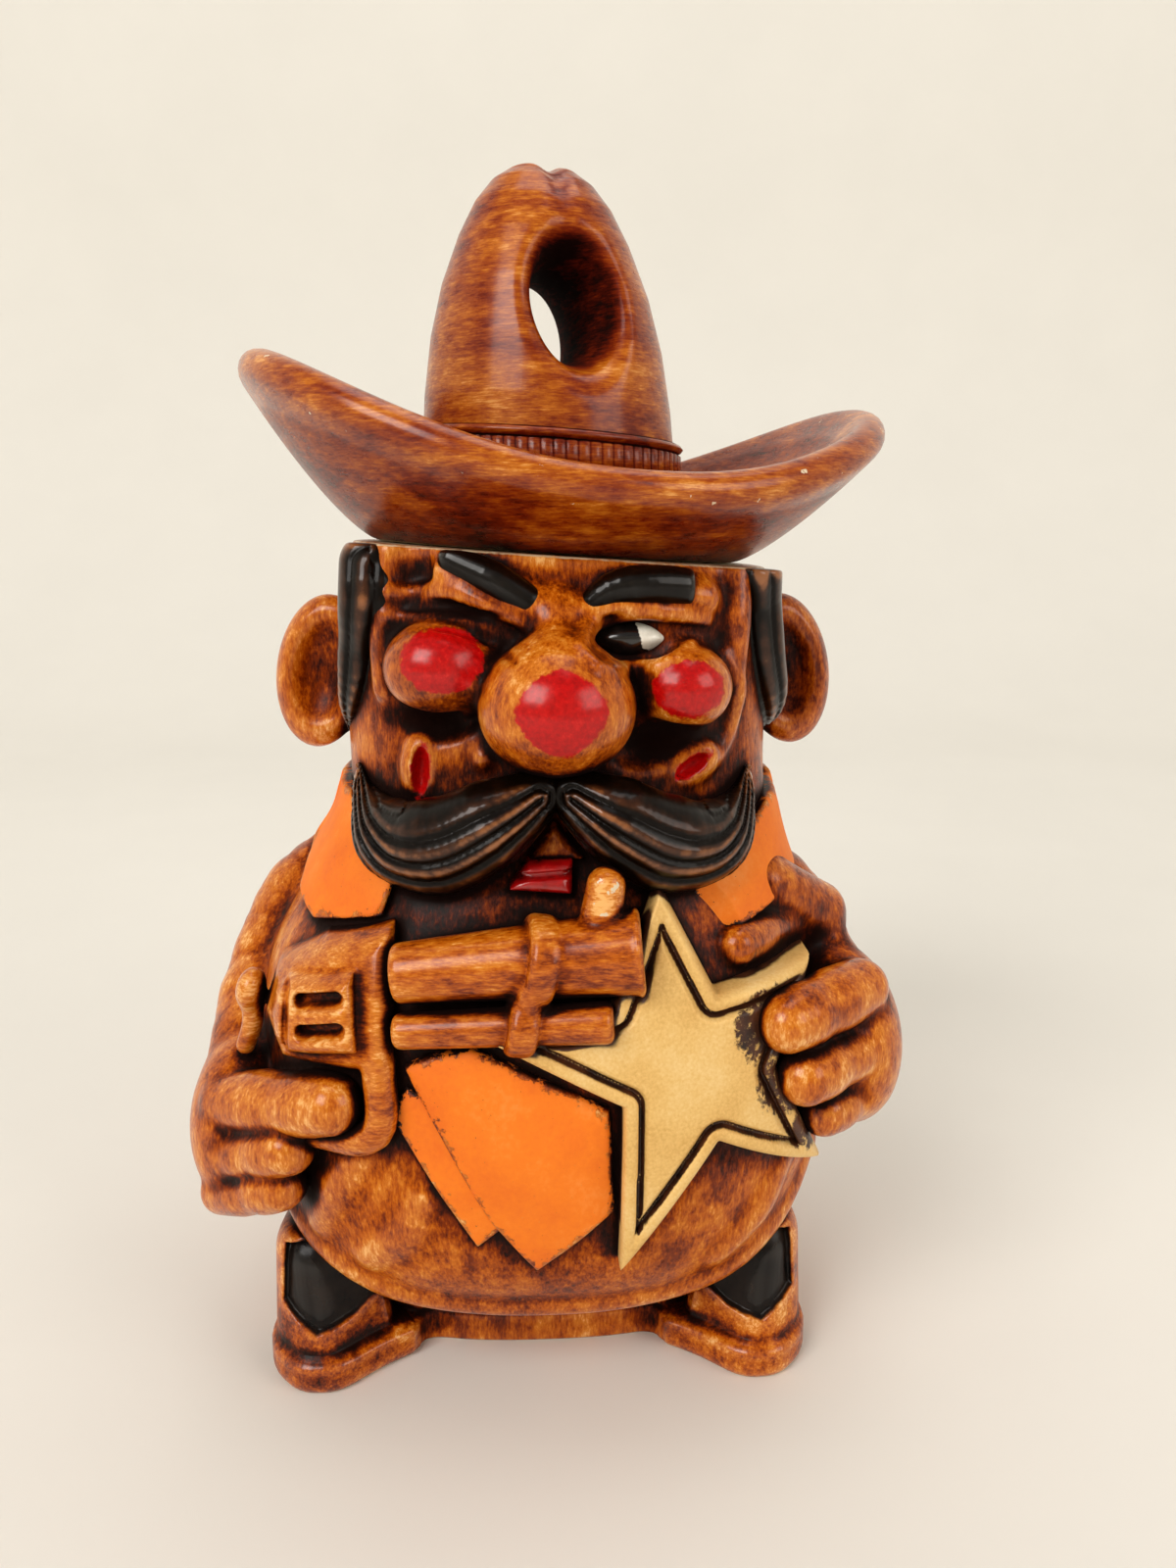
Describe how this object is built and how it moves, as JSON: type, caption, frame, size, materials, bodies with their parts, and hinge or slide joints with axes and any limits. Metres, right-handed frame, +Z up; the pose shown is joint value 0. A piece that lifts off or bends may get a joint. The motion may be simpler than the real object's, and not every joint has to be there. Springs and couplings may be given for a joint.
{
  "type": "figural cookie jar",
  "caption": "Glazed earthenware cookie jar shaped as a moustached western lawman with a revolver and a bare star badge; the wide-brimmed hat with a finger tunnel is the lid.",
  "frame": {"origin": "on the table, under the middle of the vessel's foot", "axes": "+Z up, front of the figure towards -Y, its right hand towards -X"},
  "size_m": [0.1933, 0.1654, 0.3188],
  "materials": {
    "brown_stain": "antiqued wood-tone stain under a satin clear glaze, on cast earthenware",
    "black_glaze": "gloss black glaze",
    "red_glaze": "gloss red glaze with worn edges",
    "orange_paint": "matte orange cold paint, chipped",
    "gold_paint": "matte pale gold cold paint, chipped"
  },
  "bodies": {
    "jar": {"jar_body": "brown_stain", "nose": "brown_stain", "right_ear": "brown_stain", "left_ear": "brown_stain", "right_eyelid": "brown_stain", "right_boot": "brown_stain", "left_boot": "brown_stain", "revolver_barrel": "brown_stain", "ejector_tube": "brown_stain", "barrel_band": "brown_stain", "front_sight": "brown_stain", "revolver_frame": "brown_stain", "revolver_cylinder": "brown_stain", "hammer": "brown_stain", "gun_finger_1": "brown_stain", "gun_finger_2": "brown_stain", "gun_finger_3": "brown_stain", "star_finger_1": "brown_stain", "star_finger_2": "brown_stain", "star_finger_3": "brown_stain", "trigger_guard": "brown_stain", "left_thumb": "brown_stain", "right_hand": "brown_stain", "left_hand": "brown_stain", "right_sleeve": "brown_stain", "left_sleeve": "brown_stain", "left_eye": "black_glaze", "right_eyebrow": "black_glaze", "left_eyebrow": "black_glaze", "right_moustache": "black_glaze", "left_moustache": "black_glaze", "right_sideburn": "black_glaze", "left_sideburn": "black_glaze", "right_cheek": "red_glaze", "left_cheek": "red_glaze", "lower_lip": "red_glaze", "right_collar": "orange_paint", "left_collar": "orange_paint", "kerchief_point_over": "orange_paint", "kerchief_point_under": "orange_paint", "star_badge": "gold_paint"},
    "lid": {"hat_brim": "brown_stain", "hat_crown": "brown_stain", "hat_band": "brown_stain", "locating_ring": "brown_stain"}
  },
  "joints": [
    {"name": "lid_lift", "type": "slide", "parent": "jar", "child": "lid", "axis": [0.0645, 0, 0.9979], "range_m": [0, 0.15]}
  ]
}
